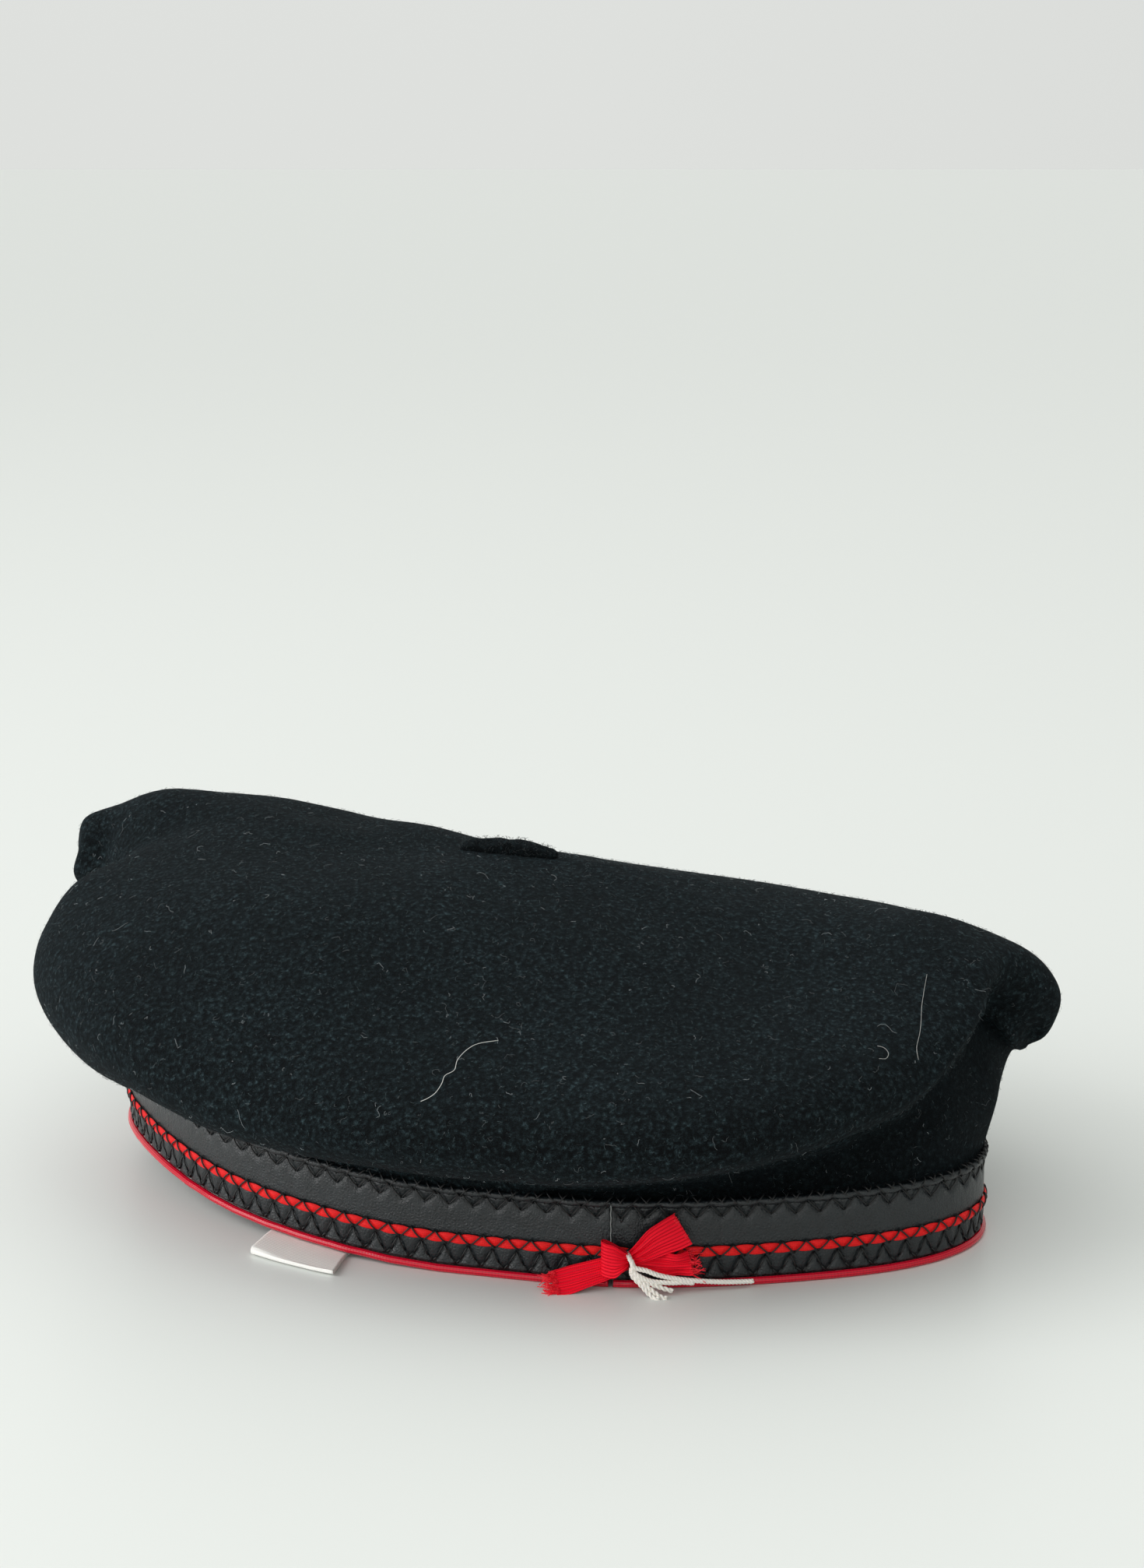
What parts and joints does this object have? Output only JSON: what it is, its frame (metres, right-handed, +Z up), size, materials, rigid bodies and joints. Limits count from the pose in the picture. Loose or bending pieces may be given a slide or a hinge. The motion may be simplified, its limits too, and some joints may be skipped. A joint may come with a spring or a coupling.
{
  "type": "beret",
  "caption": "Soft felt beret with a folded crown, a short stalk, and a leather band trimmed with braid, corded piping and a ribbon bow round the head opening.",
  "frame": {"origin": "middle of the hat's footprint, on the surface it rests on", "axes": "+Z up, +X to the right as seen from the bow's side, +Y to the back"},
  "size_m": [0.26, 0.2122, 0.0887],
  "materials": {
    "felt": "fulled wool felt, near-black navy, fuzzy and matt",
    "leather": "fine-grained black leather, low sheen",
    "piping": "glossy crimson satin cord",
    "braid": "bright red woven braid",
    "label": "bare off-white satin tape",
    "ribbon": "bright red ribbed ribbon"
  },
  "bodies": {
    "root": {"felt_crown": "felt", "felt_stalk": "felt", "leather_band": "leather", "red_piping": "piping", "red_braid": "braid", "care_label": "label", "ribbon_bow": "ribbon"}
  },
  "joints": []
}
